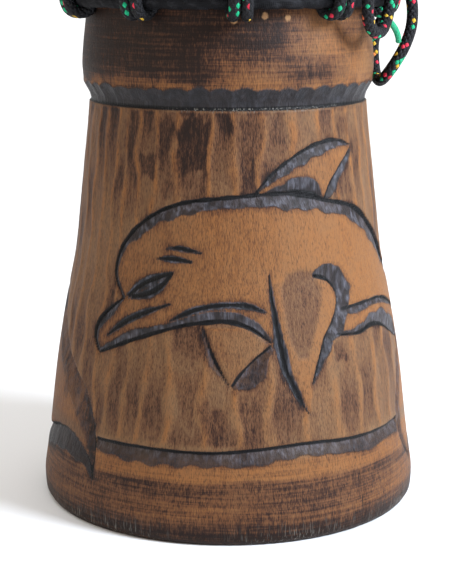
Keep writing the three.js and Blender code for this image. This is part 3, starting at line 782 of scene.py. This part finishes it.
def nearest(angle, height, path):
    """Signed distance to a path (left of it above 0), its width there, and how far past its ends."""
    radius = foot_radius(height)
    best = np.full(angle.shape, 1e9)
    side, width = np.zeros(angle.shape), np.zeros(angle.shape)
    past = np.zeros(angle.shape)
    last = len(path) - 2
    for i, (a, b) in enumerate(zip(path, path[1:])):
        scale = np.radians(1) * radius
        along_x, along_y = (b[0] - a[0]) * scale, b[1] - a[1]
        x, y = (angle - a[0]) * scale, height - a[1]
        length = np.hypot(along_x, along_y)
        free = (x * along_x + y * along_y) / length**2
        t = np.clip(free, 0, 1)
        gap = np.hypot(x - t * along_x, y - t * along_y)
        better = gap < best
        best = np.where(better, gap, best)
        cross = (along_x * y - along_y * x) / length
        side = np.where(better, cross, side)
        width = np.where(better, a[2] + t * (b[2] - a[2]), width)
        over = (i == last) * np.maximum(free - 1, 0) + (i == 0) * np.maximum(-free, 0)
        past = np.where(better, over * length, past)
    return side, width, past


def background(angle, height, wood):
    """Depth, ridge light and scorch of the upright gouge hollows behind the figures."""
    rng = np.random.default_rng(11)
    ridges = list(RIDGES_SEEN)
    while ridges[-1] < RIDGES_SEEN[0] + 360 - 12:
        ridges.append(ridges[-1] + rng.uniform(6.8, 11))
    edges = np.array(ridges + [RIDGES_SEEN[0] + 360])
    wander = 1.0 * drift(angle, height, 5, 9, 0.014) + 1.1 * drift(angle, height, 6, 36, 0.04)
    local = (angle + wander - edges[0]) % 360 + edges[0]
    k = np.clip(np.searchsorted(edges, local, side="right") - 1, 0, len(edges) - 2)
    u = (local - edges[k]) / (edges[k + 1] - edges[k]) * 2 - 1
    starts = rng.uniform(0, 60, len(edges))
    lengths = rng.uniform(24, 60, len(edges))
    stroke = (height + starts[k] + 3 * u * u) / lengths[k]
    v = stroke - np.floor(stroke)
    patchy = np.clip(0.5 + 0.6 * drift(angle, height, 7, 45, 0.06), 0, 1)
    hollow = (1 - u * u) * (0.6 + 0.5 * np.sin(np.pi * v) ** 0.7) * (0.6 + 0.5 * patchy)
    depth = wood.flute_depth / MM * (hollow - 0.3 * ramp(v, 0.05, 0.0) * (1 - u * u))
    ridge = ramp(np.abs(u), 0.42 + 0.3 * patchy, 1.0) * (0.25 + 0.75 * patchy)
    tone = 0.5 + 0.5 * np.sin(height / lengths[k] * 3 + starts[k])
    scorch = (1 - ramp(np.abs(u), 0.55, 0.95)) * (0.16 + 0.44 * tone * tone)
    ragged = 0.12 * drift(angle, height, 8, 90, 0.12)
    for i in range(FIGURES):
        near = turn_to(angle, i * FIGURE_PITCH) + wander
        for a, h, half, tall, strength in SCORCHES:
            middle = a + i * (FIGURE_PITCH + rng.uniform(-3, 3))
            across = ramp(np.abs(near - middle) / half + ragged, 1.15, 0.8)
            upright = ramp(np.abs(height - h) / tall + 2 * ragged, 1.6, 0.6)
            scorch = np.maximum(scorch, 0.85 * strength * across * upright)
    return depth, ridge, scorch * (1 - 0.8 * ridge)


def figure_areas(angle, heights):
    """Where the figures stand, their hollows, their stained fins, their darker tails and the painted
    shade on their faces.
    """
    figure, stained = np.zeros(angle.shape, bool), np.zeros(angle.shape, bool)
    hollow, browned_and_shaded = np.zeros(angle.shape), np.zeros(angle.shape)
    for i in range(FIGURES):
        local = turn_to(angle, i * FIGURE_PITCH + FIGURE_MIDDLE)
        for outline in FIGURE_OUTLINES:
            figure |= inside(local, heights, shifted(outline, i))
        stained |= inside(local, heights, shifted(FIGURE_OUTLINES[-1], i)) & (heights < 95)
        near = turn_to(angle, i * FIGURE_PITCH)
        hollow = np.maximum(hollow, soft_inside(near, heights, shifted(FIN_HOLLOW, i), 3.0))
        along = local - i * FIGURE_PITCH
        tail = ramp(along, 78, 100) * ramp(along, 140, 134) * ramp(heights, 112, 100)
        # Painted shade darkens each figure's face, copied from the first figure, whose face is turned
        # away from the key light; each tail is darker brown.
        face = ramp(along, 36, -6) * ramp(along, -60, -50)
        browned_and_shaded = np.maximum(browned_and_shaded, np.maximum(0.36 * tail, 0.26 * face))
    return figure, hollow, stained, browned_and_shaded


def turned_tones(angle, heights):
    """Where the base band and the collar are, and the warmth and the shade of both; the collar's shade
    holds painted light on the side the key light faces.
    """
    side = turn_to(angle, 0)
    band, collar = ramp(heights, *BASE_BAND), ramp(heights, *COLLAR)
    waver = drift(angle, heights * 0, 25, 14)
    strip = ramp(heights, ORANGE_STRIP[0] + waver, ORANGE_STRIP[1] + waver)
    low_strip = ramp(heights, LOW_STRIP[0] + waver, LOW_STRIP[1] + waver)
    red = ramp(heights, 8, 13) * ramp(heights, 24, 19)
    red = red * (0.5 + 0.5 * drift(angle, heights, 24, 6, 0.03))
    warmth = 1.1 * collar * strip + band * (0.6 + 0.3 * low_strip + 0.4 * red)
    warmth = warmth + collar * (1 - strip) * (0.75 + 0.3 * drift(angle, heights, 27, 6, 0.02))
    # Painted light: the dark collar is painted lighter on the side that faces the key light, fading
    # back to dark behind it, and it is darker towards the top.
    lit_side = ramp(side, -22, 50) * ramp(side, 175, 110)
    collar_dark_and_painted_light = 0.98 - 0.6 * lit_side + 0.26 * ramp(heights, 208, 228)
    collar_dark_and_painted_light = collar_dark_and_painted_light + 0.26 * drift(angle, heights, 28, 9, 0.03)
    shade = band * (0.68 - 0.5 * low_strip - 0.26 * red + 0.34 * ramp(heights, 12, 3))
    shade = shade + collar * (collar_dark_and_painted_light * (1 - strip) + 0.14 * strip)
    return np.maximum(band, collar), warmth, shade


def age_marks(angle, heights):
    """How far inside a pale spot points lie, in millimetres, how scuffed the foot's edge is, and a
    painted highlight along the notch's edge.
    """
    side = turn_to(angle, 0)
    pale = np.full(angle.shape, -FAR_OFF)
    for a, h, radius in PALE_SPOTS:
        across = np.radians(side - a) * SPOTS_RADIUS
        pale = np.maximum(pale, radius - np.hypot(across, heights - h))
    foot_edge = ramp(heights, 12, 2) * (0.4 + 0.4 * drift(angle, 0 * heights, 9, 9))
    # Painted highlight: a pale broken line along the notch's edge on the side that faces the key light,
    # kept in the same mark as the foot's real scuffs.
    notch_highlight = ramp(np.abs(heights - PANEL_TOP), 0.9, 0.3) * ramp(np.abs(side - 12), 42, 28)
    return pale, np.clip(np.maximum(foot_edge, notch_highlight), 0, 1)


def off_the_crack(angle, heights, radius):
    """How far points lie outside the crack in the foot, in millimetres."""
    angles, levels = np.array(CRACK[::-1]).T
    away = np.abs(turn_to(angle, 0) - np.interp(heights, levels, angles))
    return np.maximum(np.radians(away) * radius - CRACK_WIDTH / 2, heights - CRACK_TOP)


def foot_surface(angle, height, wood):
    """Radius in millimetres and finish values on the foot and the collar."""
    heights = np.broadcast_to(height, angle.shape)
    depth, to_line, to_slope, burn = cut_marks(angle, heights, wood)
    flutes, ridge, scorch = background(angle, heights, wood)
    figure, hollow, stained, browned_and_shaded = figure_areas(angle, heights)
    panel = ramp(heights, PANEL_FOOT, PANEL_FOOT + 4) * ramp(heights, PANEL_TOP, PANEL_TOP - 2)
    open_ground = panel * ~figure
    radius = foot_radius(heights) + 0.25 * drift(angle, heights, 3, 5, 0.01)
    radius = radius - open_ground * flutes - FIN_HOLLOW_DEPTH * hollow

    chamfer = notch_chamfer(angle, heights)
    edge = ramp(heights, PANEL_TOP - 0.6, NOTCH)
    stopped = radius * (1 - edge) + NOTCH_RADIUS * edge
    collar_side = collar_radius(heights)
    radius = np.where(heights > PANEL_TOP, np.minimum(collar_side, chamfer), stopped)
    past_edge = np.maximum((chamfer - collar_side) * CHAMFER_SLANT, NOTCH - 0.6 - heights)
    off_chamfer = np.where(heights > NOTCH - 3, past_edge, FAR_OFF)
    burn = np.where(off_chamfer < to_slope, CHAMFER_BURN, burn)
    to_slope = np.minimum(to_slope, off_chamfer)
    to_line = np.minimum(to_line, np.abs(heights - NOTCH - 0.1) - 0.8)

    off_crack = off_the_crack(angle, heights, radius)
    radius = radius - depth - CRACK_DEPTH * ramp(off_crack, 0.5, -0.2)
    to_line = np.minimum(to_line, off_crack)

    turned, warmth, shade = turned_tones(angle, heights)
    smoothed = 0.78 + 0.12 * drift(angle, heights, 26, 8, 0.02)
    gouged = 0.12 + (0.7 + 0.55 * ramp(heights, 110, 160)) * ridge
    warmth = (warmth + np.where(figure, smoothed, gouged) * panel) * (1 - 0.7 * hollow)
    warmth = np.where(stained, 0.35, warmth)
    dark_top = ramp(heights, 120, 176) * ramp(np.abs(turn_to(angle, 0) + 30), 90, 30)
    shade = shade + open_ground * np.clip(0.06 + 0.2 * dark_top + scorch, 0, 0.95)
    shade = np.where(figure & (hollow < 0.02), 0.02 + 0.12 * ramp(heights, 146, 150), shade)
    shade = np.maximum(shade, 0.5 * hollow)
    shade = np.where(figure, np.maximum(shade, browned_and_shaded), shade)
    pale, scuff = age_marks(angle, heights)
    return radius, {
        "line": to_line, "slope": to_slope, "burn": burn, "warmth": warmth,
        "shade": np.clip(shade, 0, 1), "turned": turned, "scuff": scuff, "pale": pale,
    }


def shifted(outline, figure):
    return [(a + figure * FIGURE_PITCH, h) for a, h in outline]


def notch_chamfer(angle, height):
    """Radius of the chamfer over the notch, cut with one gouge stroke beside another."""
    rng = np.random.default_rng(21)
    edges = [-180.0]
    while edges[-1] < 180 - 10:
        edges.append(edges[-1] + rng.uniform(7.2, 9.8))
    edges = np.array(edges + [180.0])
    local = turn_to(angle, 0)
    k = np.clip(np.searchsorted(edges, local, side="right") - 1, 0, len(edges) - 2)
    u = (local - edges[k]) / (edges[k + 1] - edges[k]) * 2 - 1
    bite = rng.uniform(0.5, 1.1, len(edges))[k]
    pitch = (COLLAR_PROFILE[0][1] - NOTCH_RADIUS) / (CHAMFER_TOP - NOTCH - 1.2)
    scallop = 0.7 + bite * (1 - u * u)
    return NOTCH_RADIUS + (height - NOTCH) * pitch - scallop * ramp(height, NOTCH, NOTCH + 3)


def shell_mesh(wood):
    """The whole shell: the foot with its carving, the collar, the bowl and the hollow."""
    skin = Skin({
        "line": FAR_OFF, "slope": FAR_OFF, "burn": 0.0, "warmth": 0.4, "shade": 0.4,
        "turned": 1.0, "scuff": 0.0, "pale": -FAR_OFF})
    skin.add(column_angles(BOWL_COLUMNS), 87.4, 0.0, {"shade": 0.6})
    for heights, columns in FOOT_ROWS:
        angles = column_angles(columns)
        for height in heights:
            radius, values = foot_surface(angles, np.float64(height), wood)
            skin.add(angles, radius, height, values)
    bowl = column_angles(BOWL_COLUMNS, 0.5)
    for height in BOWL_ROWS:
        ripple = 0.12 * np.sin(height * 1.9) + 0.18 * drift(bowl, height, 13, 6, 0.02)
        shade = 0.42 + 0.12 * drift(bowl, height, 14, 4, 0.01) + 0.3 * ramp(height, 262, 242)
        warmth = 0.45 + 0.2 * drift(bowl, height, 15, 5, 0.008)
        values = {"warmth": warmth, "shade": np.clip(shade, 0, 1), "turned": 0.8}
        skin.add(bowl, bowl_radius(height) + ripple, height, values)
    hollow = column_angles(HOLLOW_COLUMNS, 0.5)
    radii = smooth_through([(-i, r) for i, (_, r) in enumerate(HOLLOW_PROFILE)])
    levels = smooth_through([(-i, h) for i, (h, _) in enumerate(HOLLOW_PROFILE)])
    last = len(HOLLOW_PROFILE) - 1
    for place in np.linspace(0, last, HOLLOW_ROWS):
        level = levels(-place)
        chips = 0.5 * drift(hollow, level, 17, 12, 0.03) * (0.5 < place < last - 0.5)
        values = {"warmth": 0.35, "shade": 0.35, "turned": 0.3}
        skin.add(hollow, radii(-place) + chips, level, values)
    return skin.close()


def tube(line, radius, sides, closed=False, press=None):
    """A round cord along a line in metres: its points, faces and braid map."""
    ahead = np.roll(line, -1, 0) - np.roll(line, 1, 0)
    if not closed:
        ahead[0], ahead[-1] = line[1] - line[0], line[-1] - line[-2]
    ahead = ahead / np.linalg.norm(ahead, axis=1)[:, None]
    across = np.zeros_like(line)
    start = np.cross(ahead[0], (0.3, 0.5, 0.81))
    across[0] = start / np.linalg.norm(start)
    for i in range(1, len(line)):
        kept = across[i - 1] - ahead[i] * np.dot(across[i - 1], ahead[i])
        across[i] = kept / np.linalg.norm(kept)
    up = np.cross(ahead, across)
    twist = np.zeros(len(line))
    if closed:
        carried = across[-1] - ahead[0] * np.dot(across[-1], ahead[0])
        turn = math.atan2(np.dot(carried, up[0]), np.dot(carried, across[0]))
        twist = -turn * np.arange(len(line)) / len(line)
    around = np.arange(sides) * 2 * np.pi / sides
    lean = around[None, :] + twist[:, None]
    points = (
        line[:, None] + radius * np.cos(lean)[..., None] * across[:, None]
        + radius * np.sin(lean)[..., None] * up[:, None])
    if press is not None:
        points = press(points)
    run = np.concatenate([[0], np.cumsum(np.linalg.norm(np.diff(line, axis=0), axis=1))])
    girth = 2 * np.pi * radius
    faces, uv = [], []
    for i in range(len(line) if closed else len(line) - 1):
        near, far = i * sides, (i + 1) % len(line) * sides
        low = run[i] / girth
        high = (run[i + 1] if i + 1 < len(line) else run[-1] + run[1]) / girth
        for j in range(sides):
            k = (j + 1) % sides
            faces.append([near + j, near + k, far + k, far + j])
            left, right = j / sides, (j + 1) / sides
            uv.extend([(left, low), (right, low), (right, high), (left, high)])
    points = points.reshape(-1, 3)
    if not closed:
        for ring, centre, push in ((0, line[0], -ahead[0]), (len(line) - 1, line[-1], ahead[-1])):
            points = np.vstack([points, centre + push * radius * 0.5])
            tip = len(points) - 1
            for j in range(sides):
                a, b = ring * sides + j, ring * sides + (j + 1) % sides
                faces.append([b, a, tip] if ring == 0 else [a, b, tip])
                uv.extend([(0, 0), (0.1, 0), (0.05, 0.1)])
    return points, faces, uv


def off_the_wood(points, clearance=0.35, skin_off=0.0):
    """Moves points of a rope out of the drum's side, as a rope is pressed flat against it."""
    radius = np.hypot(points[..., 0], points[..., 1]) / MM
    height = points[..., 2] / MM
    side = np.where(height < COLLAR_TOP, collar_radius(height), bowl_radius(height))
    side = side + skin_off + clearance
    grow = np.maximum(radius, side) / np.maximum(radius, 1e-6)
    return np.stack([points[..., 0] * grow, points[..., 1] * grow, points[..., 2]], -1)


def ring_mesh(radius, height, seed):
    """A steel ring wound round with an overlapping strip of cloth."""
    rng = np.random.default_rng(seed)
    steps, sides, winds = 420, 18, 44
    theta = np.linspace(0, 2 * np.pi, steps, endpoint=False)[:, None]
    around = np.linspace(0, 2 * np.pi, sides, endpoint=False)[None, :]
    phase = theta / (2 * np.pi) * winds + around / (2 * np.pi)
    part = phase - np.floor(phase)
    swell = 0
    for _ in range(8):
        size = rng.uniform(0.02, 0.06)
        wave = theta * rng.integers(3, 40) + around * rng.integers(0, 3)
        swell = swell + size * np.sin(wave + rng.uniform(0, 6))
    overlap = 0.45 * ramp(part, 0.0, 0.35) * ramp(part, 1.0, 0.9)
    tube_radius = RING_TUBE - 0.3 + overlap + 0.6 * swell
    out = radius + tube_radius * np.cos(around)
    up = height + tube_radius * np.sin(around) + 0 * theta
    points = np.stack([out * np.sin(theta), -out * np.cos(theta), up], -1)
    faces, uv = [], []
    long = radius / RING_TUBE
    for i in range(steps):
        near, far = i * sides, (i + 1) % steps * sides
        low, high = i / steps * long, (i + 1) / steps * long
        for j in range(sides):
            k = (j + 1) % sides
            faces.append([near + j, far + j, far + k, near + k])
            left, right = j / sides, (j + 1) / sides
            uv.extend([(left, low), (left, high), (right, high), (right, low)])
    return points.reshape(-1, 3) * MM, faces, uv


def hitch_line(ring, rise, lean):
    """The closed line of a rope hitched twice round a ring with its bight standing away.

    Each corner is how far it lies along the ring, out from the ring and up from it."""
    radius, height = ring
    around = RING_TUBE + ROPE_RADIUS
    half = [
        (0.0, lean + 1.6, 23.4), (2.2, lean + 2.0, 22.6), (3.7, lean + 2.4, 19.0),
        (3.3, lean + 2.8, 13.0), (2.9, around - 0.4, 6.2), (2.7, around, 0.5),
        (2.7, around * 0.72, -4.3), (2.9, 0.6, -around), (3.4, -4.2, -4.2), (4.4, -5.2, 0.4),
        (5.6, -4.0, 4.8), (6.4, 0.2, around + 0.5), (6.0, 4.8, 6.6), (3.4, 9.3, 5.4),
        (0.0, 10.4, 5.0),
    ]
    other = [(-t, out, up) for t, out, up in half[-2:0:-1]]
    corners = [(t, -(radius + out), height + rise * up) for t, out, up in half + other]
    return smooth_line(np.array(corners), 1.5, closed=True) * MM


def taut_line():
    """Heights and radii that the lacing touches, from the neck slings to the crown slings."""
    off = ROPE_RADIUS + 1.8
    low, high = NECK_RING[1] + 24.5, CROWN_RING[1] - 24.5
    start = (low, NECK_RING[0] + NECK_LEAN + ROPE_RADIUS)
    end = (high, CROWN_RING[0] + CROWN_LEAN + ROPE_RADIUS)
    rest = [(h, r + off) for h, r in BOWL_PROFILE if low + 5 < h < high - 5]
    touched = []
    for h, r in [start, *rest, end]:
        while len(touched) > 1:
            (h0, r0), (h1, r1) = touched[-2:]
            if (r1 - r0) * (h - h0) < (r - r0) * (h1 - h0):
                touched.pop()
            else:
                break
        touched.append((h, r))
    return touched


def lacing_line():
    """The endless line of the rope that is laced up and down between the slings."""
    touched = taut_line()
    low, high = touched[0][0], touched[-1][0]
    corners = []
    for i in range(LOOPS):
        foot = FIRST_NECK_LOOP + i * LOOP_PITCH
        head = foot + LOOP_PITCH / 2
        for start, stop, out in ((foot, head, 1), (foot + LOOP_PITCH, head, -1)):
            leg = []
            for h, r in touched:
                share = (h - low) / (high - low)
                apart = math.degrees(ROPE_RADIUS * 1.15 / r) * (1 if stop > start else -1)
                angle = (start + apart) * (1 - share) + (stop - apart) * share
                leg.append((angle, r, h))
            (angle, r, h), (top_angle, top_r, top_h) = leg[0], leg[-1]
            leg[0] = (angle, r + 2.5 * out, h)
            leg[-1] = (top_angle, top_r + 2.5 * out, top_h)
            if out > 0:
                leg.append((head, top_r, top_h + 4.5))
                corners.append((foot, r, h - 4.5))
            else:
                leg.reverse()
            corners.extend(leg)
    points = np.array([on_drum(r, a, h) for a, r, h in corners])
    return smooth_line(points / MM, 1.7, closed=True) * MM


def head_mesh():
    """The goatskin, drawn over the bearing edge and rolled round its hoop at the foot."""
    outer = [
        (500.0, 0.05), (500.0, 30), (499.95, 60), (499.9, 90), (499.8, 108), (499.5, 115),
        (498.9, 119.2), (497.4, 122.6), (494.8, 125.2), (490, 126.7), (482, 127.6), (472, 128.3),
        (464, 128.6), (459, 129.0), (457.4, 130.2), (456.4, 132.0), (454.6, 133.7), (452.0, 134.4),
        (449.4, 133.9), (447.4, 132.2), (446.6, 130.2), (446.8, 128.4),
    ]
    inner = [
        (452, 127.6), (470, 127.2), (488, 125.7), (495.6, 123.4), (498.5, 118), (498.7, 60),
        (498.7, 0.05),
    ]
    profile = outer + inner
    outer_places = np.linspace(0, len(outer) - 1, 96)
    places = np.concatenate([outer_places, np.arange(len(outer), len(profile))])
    index = np.arange(len(profile))
    levels = np.interp(places, index, [h for h, _ in profile])
    radii = np.interp(places, index, [r for _, r in profile])
    angles = column_angles(360, 0.5)
    skin = Skin({"worn": 0.0})
    for place, level, radius in zip(places, levels, radii):
        skirt = ramp(level, 494, 470) * (place < len(outer))
        pucker = 0.28 * np.sin(np.radians(angles) * 73 + 2 * drift(angles, level, 31, 9))
        pucker = pucker + 0.3 * drift(angles, level, 32, 24, 0.02)
        roll = ramp(level, 460, 456) * (place < len(outer))
        lumps = 0.35 * drift(angles, level * 0, 33, 40)
        worn = 0.25 * skirt + 0.3 * roll * (0.5 + 0.5 * drift(angles, level, 34, 12))
        relief = skirt * pucker * (1 - roll) + roll * lumps - 0.3 * skirt
        skin.add(angles, radius + relief, level, {"worn": np.clip(worn, 0, 1)})
    return skin.close()


# Operators


class DRUM_OT_stage(bpy.types.Operator):
    """Sets out the floor, the soft lights and the camera"""

    bl_idname = "drum.stage"
    bl_label = "Stage"

    def execute(self, context):
        stage = context.scene.drum_stage
        camera = bpy.data.objects.new("camera", bpy.data.cameras.new("camera"))
        camera.data.lens = FOCAL_LENGTH / FRAME_HEIGHT * FILM
        camera.data.shift_x = CENTRE_SHIFT / FRAME_HEIGHT
        camera.data.clip_start = 0.01
        camera.location = (0, -stage.distance, stage.height)
        camera.rotation_euler = (math.radians(90) - stage.pitch, 0, 0)
        context.scene.collection.objects.link(camera)
        context.scene.camera = camera

        corners = [(x * FLOOR_SPAN, y * FLOOR_SPAN, 0) for x, y in ((-1, -1), (1, -1), (1, 1), (-1, 1))]
        mesh = bpy.data.meshes.new("floor")
        mesh.from_pydata(corners, [], [(0, 1, 2, 3)])
        finish = Finish(
            "pale_floor", base_color=FLOOR_WHITE, roughness=0.8, specular_ior_level=0.0)
        mesh.materials.append(finish.material)
        floor = bpy.data.objects.new("floor", mesh)
        context.scene.collection.objects.link(floor)

        self.light(context, "key", KEY_PLACE, KEY_SIZE, stage.key_power, stage.key_colour)
        self.light(context, "fill", FILL_PLACE, FILL_SIZE, stage.fill_power, stage.fill_colour)
        overhead = bpy.data.lights.new("overhead", "SUN")
        overhead.energy, overhead.angle = stage.overhead, OVERHEAD_SPREAD
        context.scene.collection.objects.link(bpy.data.objects.new("overhead", overhead))
        backdrop = bpy.data.lights.new("backdrop", "AREA")
        backdrop.shape, backdrop.energy = "RECTANGLE", stage.backdrop
        backdrop.size, backdrop.size_y = BACKDROP_SIZE
        piece = bpy.data.objects.new("backdrop", backdrop)
        piece.location = BACKDROP_PLACE
        context.scene.collection.objects.link(piece)
        world = bpy.data.worlds.new("room")
        world.use_nodes = True
        nodes, link = world.node_tree.nodes, world.node_tree.links.new
        direction, split = nodes.new("ShaderNodeTexCoord"), nodes.new("ShaderNodeSeparateXYZ")
        fade = nodes.new("ShaderNodeMapRange")
        fade.inputs["From Max"].default_value = HORIZON_RISE
        fade.inputs["To Min"].default_value = 1.0
        fade.inputs["To Max"].default_value = stage.sky
        link(direction.outputs["Generated"], split.inputs[0])
        link(split.outputs["Z"], fade.inputs["Value"])
        nodes["Background"].inputs["Color"].default_value = (1, 1, 1, 1)
        link(fade.outputs[0], nodes["Background"].inputs["Strength"])
        context.scene.world = world
        context.scene.view_settings.view_transform = "Standard"
        return {"FINISHED"}

    def light(self, context, name, place, size, power, colour):
        lamp = bpy.data.lights.new(name, "AREA")
        lamp.shape, lamp.size, lamp.energy = "DISK", size, power
        lamp.color = colour
        piece = bpy.data.objects.new(name, lamp)
        piece.location = place
        aim = Vector((0, 0, AIM_HEIGHT)) - Vector(place)
        piece.rotation_euler = aim.to_track_quat("-Z", "Y").to_euler()
        context.scene.collection.objects.link(piece)


class DRUM_OT_spare_rope(bpy.types.Operator):
    """Hangs the spare end of the rope over the neck ring"""

    bl_idname = "drum.spare_rope"
    bl_label = "Spare Rope"

    def execute(self, context):
        rope = context.scene.drum_rope
        line = smooth_line(SPARE_ROUTE, 1.2) * MM
        points, faces, uv = tube(line, rope.diameter / 2, 16)
        finish = finish_named("braided_rope", rope_finish, rope)
        piece = new_piece("spare_rope_end", points, faces, finish, uv=uv, slot="rope")
        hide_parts("spare_rope")
        line = smooth_line(YARN_ROUTE, 0.8) * MM
        points, faces, uv = tube(line, YARN_RADIUS, 8)
        finish = finish_named("loose_yarn", yarn_finish, rope)
        new_piece("loose_yarn_end", points, faces, finish, uv=uv, slot="rope")
        return {"FINISHED"}


class DRUM_OT_shell(bpy.types.Operator):
    """Carves the wooden shell"""

    bl_idname = "drum.shell"
    bl_label = "Shell"

    def execute(self, context):
        wood = context.scene.drum_wood
        points, faces, marks = shell_mesh(wood)
        finish = finish_named("scorched_hardwood", wood_finish, wood)
        piece = new_piece("drum_shell", points, faces, finish, marks, slot="carved_wood")
        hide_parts("shell")
        return {"FINISHED"}


class DRUM_OT_head(bpy.types.Operator):
    """Draws the goatskin over the bowl"""

    bl_idname = "drum.head"
    bl_label = "Head"

    def execute(self, context):
        head = context.scene.drum_head
        points, faces, marks = head_mesh()
        finish = finish_named("shaved_goatskin", skin_finish, head)
        piece = new_piece("goatskin_head", points, faces, finish, marks, slot="goatskin")
        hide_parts("drumhead_skin")
        return {"FINISHED"}


class DRUM_OT_rings(bpy.types.Operator):
    """Wraps the crown ring and the neck ring in cloth"""

    bl_idname = "drum.rings"
    bl_label = "Rings"

    def execute(self, context):
        finish = finish_named("ring_cloth", cloth_finish, context.scene.drum_rope)
        for name, ring, seed in (("crown_ring", CROWN_RING, 41), ("neck_ring", NECK_RING, 42)):
            points, faces, uv = ring_mesh(*ring, seed)
            piece = new_piece(name + "_wrap", points, faces, finish, uv=uv, slot="ring_wrap")
            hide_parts(name)
        return {"FINISHED"}


class DRUM_OT_slings(bpy.types.Operator):
    """Hitches the slings round both rings"""

    bl_idname = "drum.slings"
    bl_label = "Slings"

    def execute(self, context):
        rope = context.scene.drum_rope
        finish = finish_named("braided_rope", rope_finish, rope)
        rows = (
            ("neck_sling", NECK_RING, 1, NECK_LEAN, FIRST_NECK_LOOP, 0.0),
            ("crown_sling", CROWN_RING, -1, CROWN_LEAN, FIRST_CROWN_LOOP, 2.0),
        )
        for name, ring, rise, lean, first, over in rows:
            for i in range(LOOPS):
                line = hitch_line(ring, rise, lean)
                turn = math.radians(first + i * LOOP_PITCH)
                cos, sin = math.cos(turn), math.sin(turn)
                spin = np.array([[cos, -sin, 0], [sin, cos, 0], [0, 0, 1]])
                line = line @ spin.T
                points, faces, uv = tube(
                    line, rope.diameter / 2, 12, True, lambda p: off_the_wood(p, skin_off=over))
                node = f"{name}_{i + 1:02d}"
                piece = new_piece(node + "_rope", points, faces, finish, uv=uv, slot="rope")
                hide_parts(node)
        return {"FINISHED"}


class DRUM_OT_lacing(bpy.types.Operator):
    """Laces the rope between the slings"""

    bl_idname = "drum.lacing"
    bl_label = "Lacing"

    def execute(self, context):
        rope = context.scene.drum_rope
        points, faces, uv = tube(lacing_line(), rope.diameter / 2, 12, True)
        finish = finish_named("braided_rope", rope_finish, rope)
        piece = new_piece("lacing_rope", points, faces, finish, uv=uv, slot="rope")
        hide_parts("lacing")
        return {"FINISHED"}


OPERATORS = (
    DRUM_OT_stage, DRUM_OT_spare_rope, DRUM_OT_shell, DRUM_OT_head, DRUM_OT_rings,
    DRUM_OT_slings, DRUM_OT_lacing,
)
SETTINGS = {
    "drum_wood": WoodSettings, "drum_rope": RopeSettings, "drum_head": HeadSettings,
    "drum_stage": StageSettings,
}


class DRUM_PT_panel(bpy.types.Panel):
    """Lists the drum's sizes, colours and pieces"""

    bl_label = "Drum"
    bl_idname = "DRUM_PT_panel"
    bl_space_type = "VIEW_3D"
    bl_region_type = "UI"
    bl_category = "Drum"

    def draw(self, context):
        for name, group in SETTINGS.items():
            box = self.layout.box()
            for setting in group.__annotations__:
                box.prop(getattr(context.scene, name), setting)
        for operator in OPERATORS:
            self.layout.operator(operator.bl_idname)


def register():
    for group in SETTINGS.values():
        bpy.utils.register_class(group)
    for operator in OPERATORS:
        bpy.utils.register_class(operator)
    bpy.utils.register_class(DRUM_PT_panel)
    for name, group in SETTINGS.items():
        setattr(bpy.types.Scene, name, PointerProperty(type=group))


def unregister():
    for name in SETTINGS:
        delattr(bpy.types.Scene, name)
    bpy.utils.unregister_class(DRUM_PT_panel)
    for operator in reversed(OPERATORS):
        bpy.utils.unregister_class(operator)
    for group in reversed(list(SETTINGS.values())):
        bpy.utils.unregister_class(group)


def main():
    register()
    for operator in OPERATORS:
        getattr(bpy.ops.drum, operator.bl_idname.split(".")[1])()


if __name__ == "__main__":
    main()
